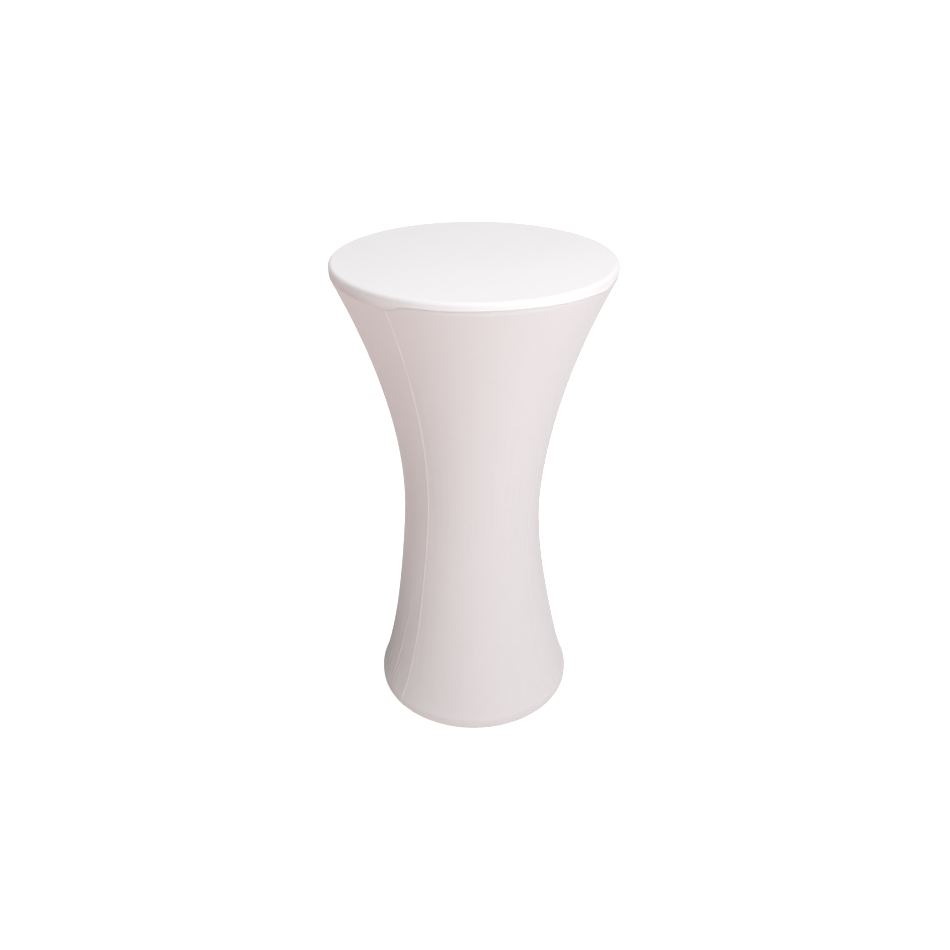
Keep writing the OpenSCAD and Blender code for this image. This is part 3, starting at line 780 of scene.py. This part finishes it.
azimuth, s, lift, shade, layersAndHighlight = capGrid()
points = coverPoint(azimuth, s, lift).reshape(-1, 3)
rowCount, columnCount = azimuth.shape
faces = gridFaces(rowCount, columnCount, wrap=True).tolist()
middle = len(points)
points = np.vstack([points, [[0, 0, points[:columnCount, 2].mean()]]])
faces += [[middle, i, (i + 1) % columnCount] for i in range(columnCount)]
unrolled = np.interp(s, lineS, lineS - lineS[0])
turn = np.radians(azimuth)
flat = np.stack([unrolled * np.sin(turn), unrolled * np.cos(turn)], -1).reshape(-1, 2)
cap = makePiece(
    "capPanel", points, faces, capKnit, nodes=["cap_panel"],
    uv=np.vstack([flat, [[0, 0]]]), shade=np.append(shade.ravel(), 0.0),
    layersAndHighlight=np.append(layersAndHighlight.ravel(), 0.0), thick=coverShape["clothThick"],
)
print("cap made", azimuth.shape)

allowanceSet = {
    "inset": 0.8 * mm, "width": 6 * mm, "thick": 1.5 * mm, "topZ": 1062 * mm, "footZ": 53 * mm,
    "loopPitch": 3.2 * mm, "threadR": 0.16 * mm, "threadSides": 5, "threadOff": 0.25 * mm,
    "threadNear": 0.28, "threadDeep": 0.27, "rounding": 0.6 * mm, "rows": 320,
    "wave": 0.25 * mm, "wavePitch": 0.021,
}


# A closed profile carried along a path: each point is the path's centre plus the profile's two
# numbers times the two side directions. Returns the grid of points, rows along the path.
def ringSweep(centre, across, up, profile):
    return centre[:, None] + profile[None, :, :1] * across[:, None] + profile[None, :, 1:2] * up[:, None]


# Quads round a tube whose rows run along it, with end faces unless it is closed on itself.
def tubeFaces(rows, columns, closed=False):
    index = np.arange(rows * columns).reshape(rows, columns)
    index = np.concatenate([index, index[:, :1]], 1)
    if closed:
        index = np.concatenate([index, index[:1]], 0)
    faces = np.stack([index[:-1, :-1], index[:-1, 1:], index[1:, 1:], index[1:, :-1]], -1)
    faces = faces.reshape(-1, 4).tolist()
    if not closed:
        faces += [list(range(columns))[::-1], list(range((rows - 1) * columns, rows * columns))]
    return faces


# Counter-clockwise outline of a rounded rectangle about the origin.
def roundedBox(width, height, radius, each=3):
    turns = np.radians(np.linspace(0, 90, each + 1))
    corners = []
    for quarter, (sx, sy) in enumerate(((1, 1), (-1, 1), (-1, -1), (1, -1))):
        a = turns + quarter * np.pi / 2
        x = sx * (width / 2 - radius) + radius * np.cos(a)
        y = sy * (height / 2 - radius) + radius * np.sin(a)
        corners.append(np.stack([x, y], -1))
    return np.concatenate(corners)


# One list of points and faces from several.
def joinMeshes(parts):
    points, faces, base = [], [], 0
    for partPoints, partFaces in parts:
        points.append(partPoints.reshape(-1, 3))
        faces += [[v + base for v in face] for face in partFaces]
        base += len(points[-1])
    return np.vstack(points), faces


# Rows of vectors brought to length one.
def unit(vectors):
    return vectors / np.linalg.norm(vectors, axis=1, keepdims=True)


# The two overlocked edges of a gore seam, standing inwards along it, with the overlock thread
# wound round their free edge in a zigzag.
def allowanceFin(index):
    c = allowanceSet
    z = np.linspace(c["topZ"], c["footZ"], c["rows"])
    azimuth = seams[index](z)
    s = distanceAt(z)
    seamS = distanceAt(capSeamZ(azimuth))
    lift = clothLift(azimuth, z, s, seamS) - max(goreSet["groove"])
    wave = c["wave"] * np.sin(z * 2 * np.pi / c["wavePitch"])
    middle = coverPoint(azimuth, s, lift - c["inset"] - c["width"] / 2)
    a = np.radians(azimuth)
    out = unit(coverPoint(azimuth, s, lift + 1.0 * mm) - coverPoint(azimuth, s, lift))
    side = np.stack([np.cos(a), np.sin(a), 0 * a], -1)
    middle = middle + side * wave[:, None]
    fin = ringSweep(middle, side, out, roundedBox(c["thick"], c["width"], c["rounding"]))
    # zigzag thread: face, free edge, other face, one turn each loop
    turns = int((c["topZ"] - c["footZ"]) / c["loopPitch"])
    t = np.linspace(0, turns, turns * 4 + 1)
    at = t / turns * (len(z) - 1)
    low = np.clip(at.astype(int), 0, len(z) - 2)
    part = (at - low)[:, None]
    base = middle[low] * (1 - part) + middle[low + 1] * part
    sideAt, outAt = side[low], out[low]
    phase = 2 * np.pi * t
    reach = c["thick"] / 2 + c["threadOff"]
    inward = c["width"] * (c["threadNear"] + c["threadDeep"] * np.abs(np.cos(phase)))
    path = base + sideAt * (reach * np.sin(phase))[:, None] - outAt * inward[:, None]
    tangent = unit(np.gradient(path, axis=0))
    first = unit(np.cross(tangent, outAt + 0.3 * sideAt))
    second = np.cross(tangent, first)
    ring = np.linspace(0, 2 * np.pi, c["threadSides"], endpoint=False)
    thread = ringSweep(path, first, second, c["threadR"] * np.stack([np.cos(ring), np.sin(ring)], -1))
    return joinMeshes([(fin, tubeFaces(*fin.shape[:2])), (thread, tubeFaces(*thread.shape[:2]))])


# Turns a closed piece's faces outwards.
def outwards(piece):
    work = bmesh.new()
    work.from_mesh(piece.data)
    bmesh.ops.recalc_face_normals(work, faces=work.faces)
    work.to_mesh(piece.data)
    work.free()


for index, side in enumerate(("front_left", "front_right", "back_right", "back_left")):
    points, faces = allowanceFin(index)
    name = "goreSeam" + "".join(word.title() for word in side.split("_"))
    fin = makePiece(name, points, faces, seamThread, nodes=[f"gore_seam_{side}"])
    outwards(fin)


foldSet = {
    "thick": 0.36 * mm, "height": 4.0 * mm, "rounding": 0.15 * mm, "below": 2.9 * mm, "behind": 0.2 * mm,
    "scallop": 0.08, "scallopCount": 240, "columns": 480,
}


# The folded edges of cap and skirt behind the skirt's top: a thin scalloped band.
def capSeamFold():
    c = foldSet
    azimuth = np.linspace(-180, 180, c["columns"], endpoint=False)[:, None]
    seamS = distanceAt(capSeamZ(azimuth))
    outline = roundedBox(c["thick"], c["height"], c["rounding"])
    scallop = c["scallop"] * np.sin(np.radians(azimuth) * c["scallopCount"])
    s = seamS + c["below"] - outline[None, :, 1] * (1 + scallop)
    lift = clothLift(azimuth, np.interp(s, lineS, lineZ), s, seamS)
    lift = lift + capSeamGroove(azimuth, s - seamS)
    return coverPoint(azimuth + 0 * s, s, lift - coverShape["clothThick"] - c["behind"] + outline[None, :, 0])


fold = capSeamFold()
foldFaces = tubeFaces(*fold.shape[:2], closed=True)
capFold = makePiece("capSeam", fold, foldFaces, seamThread, nodes=["cap_seam"])
outwards(capFold)
print("seams made")

hemSet = {
    "innerR": 207 * mm, "outerR": 221 * mm, "lowZ": 1.9 * mm, "highZ": 5.7 * mm,
    "gathers": 88, "gatherHeight": 0.42 * mm, "columns": 704,
    "rounding": 1.3 * mm, "sideShare": 0.35, "topShare": 0.25, "swellShare": 0.62, "clothThick": 0.6 * mm,
    "elasticInnerR": 209.6 * mm, "elasticOuterR": 218.4 * mm, "elasticZ": 3.8 * mm,
    "elasticThick": 1.1 * mm, "elasticRounding": 0.35 * mm, "cord": 0.07 * mm, "cordPitch": 1.1 * mm,
    "knitRadius": 0.214, "knitShare": 0.8,
}


# The same closed outline with a number of evenly spaced points, and their distances along it.
def evenOutline(outline, count):
    ends = np.concatenate([outline, outline[:1]])
    length = np.concatenate([[0], np.cumsum(np.hypot(*np.diff(ends, axis=0).T))])
    even = np.linspace(0, length[-1], count + 1)[:-1]
    return np.stack([np.interp(even, length, ends[:, k]) for k in (0, 1)], -1), even


# The casing's rounded section carried round the base, each part of it pushed out and in by the
# gathers as the elastic draws it up.
def hemTube():
    c = hemSet
    azimuth = np.linspace(-180, 180, c["columns"], endpoint=False)
    a = np.radians(azimuth)[:, None]
    box = roundedBox(c["outerR"] - c["innerR"], c["highZ"] - c["lowZ"], c["rounding"], each=4)
    outline, even = evenOutline(box, 32)
    towards = np.gradient(np.concatenate([outline[-1:], outline, outline[:1]]), axis=0)[1:-1]
    normal = np.stack([towards[:, 1], -towards[:, 0]], -1) / np.hypot(*towards.T)[:, None]
    swell = np.sin(c["gathers"] * a) + 0.35 * np.sin(c["gathers"] * 0.5 * a + 1.0) + 0.3 * np.sin(31 * a)
    normalR, normalZ = normal[None, :, 0], normal[None, :, 1]
    share = c["sideShare"] + (1 - c["sideShare"]) * np.abs(normalZ)
    lift = c["gatherHeight"] * swell * share * c["swellShare"]
    r = (c["innerR"] + c["outerR"]) / 2 + outline[None, :, 0] + lift * normalR
    z = (c["lowZ"] + c["highZ"]) / 2 + outline[None, :, 1]
    z = z + lift * normalZ * np.where(normalZ > 0, c["topShare"], 1)
    points = np.stack([r * np.sin(a), -r * np.cos(a), z], -1)
    around = np.radians(azimuth + 180)[:, None] * c["knitRadius"] * c["knitShare"]
    uv = np.stack([around + 0 * z, even[None, :] + 0 * z], -1)
    return points, uv


points, uv = hemTube()
hem = makePiece(
    "hemCasing", points, tubeFaces(*points.shape[:2], closed=True), skirtKnit,
    nodes=["hem_casing"], uv=uv, shade=np.zeros(points.shape[:2]),
)
outwards(hem)
wall = hem.modifiers.new("clothThickness", "SOLIDIFY")
wall.thickness = hemSet["clothThick"]
wall.offset = -1
wall.use_even_offset = False


# A flat woven band carried round inside the casing, with lengthwise cords raised on it.
def elasticRing():
    c = hemSet
    azimuth = np.linspace(-180, 180, 360, endpoint=False)
    a = np.radians(azimuth)[:, None]
    box = roundedBox(c["elasticOuterR"] - c["elasticInnerR"], c["elasticThick"], c["elasticRounding"], each=2)
    outline = evenOutline(box, 40)[0]
    ribs = c["cord"] * np.cos(outline[:, 0] / c["cordPitch"] * 2 * np.pi) * np.sign(outline[:, 1])
    r = (c["elasticInnerR"] + c["elasticOuterR"]) / 2 + outline[None, :, 0] + 0 * a
    z = c["elasticZ"] + (outline[:, 1] + ribs)[None, :] + 0 * a
    around = np.radians(azimuth + 180)[:, None] * c["knitRadius"]
    uv = np.stack([outline[None, :, 0] + 0 * z, around + 0 * z], -1)
    return np.stack([r * np.sin(a), -r * np.cos(a), z], -1), uv


points, uv = elasticRing()
elastic = makePiece(
    "hemElastic", points, tubeFaces(*points.shape[:2], closed=True), elasticBand,
    nodes=["hem_elastic"], uv=uv,
)
outwards(elastic)
print("hem made")

studio = {
    # azimuth and elevation in degrees, tightness, strength, colour
    "lobes": (
        (0, 90, 8.0, 1.85, (0.995, 1.0, 1.0, 1)), (0, 90, 2.0, 0.56, (1.03, 0.985, 0.96, 1)),
        (20, 10, 4.0, 0.44, (0.99, 1.0, 1.01, 1)), (180, 12, 5.0, 0.75, (1, 1, 1, 1)),
    ),
    "keyPlace": (1.35, -1.75, 2.55), "keyTarget": (0, 0, 0.75),
    "keySize": 1.5, "keyPower": 36.5, "keyColour": (0.985, 1.0, 1.015),
    "floorRadius": 90.0, "floorSides": 96,
    "floorColour": (0.70, 0.70, 0.70, 1), "floorGlow": 0.262, "floorWhite": 0.6,
    # tint of the light sent back up, on the left and on the right
    "warmTint": (1.15, 0.995, 0.955, 1), "coolTint": (1.04, 1.0, 1.0, 1), "tintFrom": -0.7, "tintTo": 0.6,
    # the floor sends less light back up here, close to the left of the foot
    "dimPlace": (-0.52, 0.12, 0), "dimInner": 0.1, "dimOuter": 0.50, "dimLeast": 0.0,
}


# Light from the sky as the sum of soft lobes: each is its strength times the cosine of the angle from
# its direction, raised to its tightness. The camera sees plain white.
def studioWorld(c):
    world = bpy.data.worlds.new("softStudio")
    bpy.context.scene.world = world
    world.use_nodes = True
    tree = world.node_tree
    tree.nodes.clear()
    direction = tree.nodes.new("ShaderNodeTexCoord").outputs["Generated"]
    total = addNode(tree, "Background", {"Strength": 0.0}).outputs[0]
    for azimuth, elevation, power, level, colour in c["lobes"]:
        a, e = math.radians(azimuth), math.radians(elevation)
        towards = (math.sin(a) * math.cos(e), -math.cos(a) * math.cos(e), math.sin(e))
        facing = addNode(tree, "VectorMath", {0: direction, 1: towards}, operation="DOT_PRODUCT")
        lobe = math2(tree, "POWER", math2(tree, "MAXIMUM", facing.outputs["Value"], 0.0), power)
        strength = math2(tree, "MULTIPLY", lobe, level)
        part = addNode(tree, "Background", {"Color": colour, "Strength": strength}).outputs[0]
        total = addNode(tree, "AddShader", {0: total, 1: part}).outputs[0]
    white = addNode(tree, "Background", {"Color": (1, 1, 1, 1), "Strength": 1.0}).outputs[0]
    seen = tree.nodes.new("ShaderNodeLightPath").outputs["Is Camera Ray"]
    mixed = addNode(tree, "MixShader", {0: seen, 1: total, 2: white}).outputs[0]
    addNode(tree, "OutputWorld", {"Surface": mixed})


studioWorld(studio)
keyData = bpy.data.lights.new("keyLight", "AREA")
keyData.size = studio["keySize"]
keyData.energy = studio["keyPower"]
keyData.color = studio["keyColour"]
keyLight = bpy.data.objects.new("keyLight", keyData)
keyLight.location = studio["keyPlace"]
towards = Vector(studio["keyTarget"]) - Vector(studio["keyPlace"])
keyLight.rotation_euler = towards.to_track_quat("-Z", "Y").to_euler()
keyLight.visible_camera = False
bpy.context.scene.collection.objects.link(keyLight)


# A pale round floor. The camera sees it white; the light it sends back up is tinted from left to right
# and dimmed near one place.
def studioFloor(c):
    ringAngles = np.linspace(0, 2 * np.pi, c["floorSides"], endpoint=False)
    points = np.stack([np.cos(ringAngles), np.sin(ringAngles), 0 * ringAngles], -1) * c["floorRadius"]
    mesh = bpy.data.meshes.new("studioFloor")
    mesh.from_pydata(points.tolist(), [], [list(range(c["floorSides"]))])
    floor = bpy.data.objects.new("studioFloor", mesh)
    bpy.context.scene.collection.objects.link(floor)
    material = bpy.data.materials.new("paleFloor")
    material.use_nodes = True
    tree = material.node_tree
    shader = tree.nodes["Principled BSDF"]
    shader.inputs["Roughness"].default_value = 0.9
    shader.inputs["Specular IOR Level"].default_value = 0.1
    place = tree.nodes.new("ShaderNodeTexCoord").outputs["Object"]
    away = addNode(tree, "VectorMath", {0: place, 1: c["dimPlace"]}, operation="DISTANCE")
    seen = tree.nodes.new("ShaderNodeLightPath").outputs["Is Camera Ray"]
    dim = mapRange(
        tree, away.outputs["Value"], c["dimInner"], c["dimOuter"], c["dimLeast"],
        interpolation_type="SMOOTHSTEP",
    )
    part = math2(tree, "MAXIMUM", dim, seen)
    across = addNode(tree, "SeparateXYZ", {0: place}).outputs[0]
    rightward = mapRange(tree, across, c["tintFrom"], c["tintTo"], interpolation_type="SMOOTHSTEP")
    tint = mixColour(tree, rightward, c["warmTint"], c["coolTint"])
    tint = mixColour(tree, seen, tint, (1, 1, 1, 1))
    tree.links.new(tint, shader.inputs["Emission Color"])
    tinted = mixColour(tree, 1.0, tint, c["floorColour"], "MULTIPLY")
    tree.links.new(mixColour(tree, part, (0, 0, 0, 1), tinted), shader.inputs["Base Color"])
    level = math2(tree, "MULTIPLY_ADD", seen, c["floorWhite"])
    tree.links.new(math2(tree, "MULTIPLY", part, c["floorGlow"]), level.node.inputs[2])
    tree.links.new(level, shader.inputs["Emission Strength"])
    mesh.materials.append(material)
    return floor


floor = studioFloor(studio)
print("studio lit")
